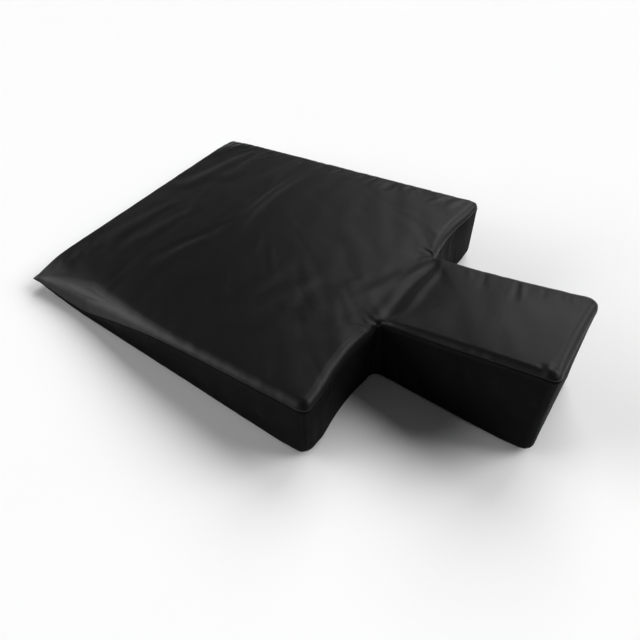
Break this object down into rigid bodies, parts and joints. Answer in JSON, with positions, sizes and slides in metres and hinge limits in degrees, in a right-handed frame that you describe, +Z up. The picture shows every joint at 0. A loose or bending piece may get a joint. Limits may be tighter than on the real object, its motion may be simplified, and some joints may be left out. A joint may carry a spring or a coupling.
{
  "type": "exercise wedge",
  "caption": "Foam exercise wedge with a narrow rising tongue, in a sewn, wipe-clean black cover that closes with a zip along its thin edge.",
  "frame": {"origin": "on the floor, under the middle of the whole object's box", "axes": "+X from the thin edge to the end of the tongue, +Y towards the far side, +Z up"},
  "size_m": [0.8116, 0.51, 0.1661],
  "materials": {
    "coated_cloth": "satin",
    "foam": "matte",
    "zip_tape": "matte",
    "zip_coil": "satin",
    "zip_metal": "satin"
  },
  "bodies": {
    "cushion": {"cover_top_panel": "coated_cloth", "cover_base_panel": "coated_cloth", "cover_side_near": "coated_cloth", "cover_shoulder_near": "coated_cloth", "cover_tongue_side_near": "coated_cloth", "cover_tongue_end": "coated_cloth", "cover_tongue_side_far": "coated_cloth", "cover_shoulder_far": "coated_cloth", "cover_side_far": "coated_cloth", "cover_edge_lower": "coated_cloth", "cover_edge_upper": "coated_cloth", "wedge_foam": "foam", "tongue_foam": "foam", "zip_tape_upper": "zip_tape", "zip_tape_lower": "zip_tape", "zip_coil_upper": "zip_coil", "zip_coil_lower": "zip_coil", "zip_top_stop_upper": "zip_metal", "zip_top_stop_lower": "zip_metal", "zip_bottom_stop": "zip_metal"},
    "slider": {"zip_slider": "zip_metal"},
    "pull_tab": {"zip_pull_tab": "zip_metal"}
  },
  "joints": [
    {"name": "zip_slide", "type": "slide", "parent": "cushion", "child": "slider", "axis": [0, -1, 0], "range_m": [0, 0.35]},
    {"name": "pull_tab_hinge", "type": "hinge", "parent": "slider", "child": "pull_tab", "pos_m": [-0.40385, 0.175, 0.015], "axis": [0, 0, -1], "range_deg": [0, 180]}
  ]
}
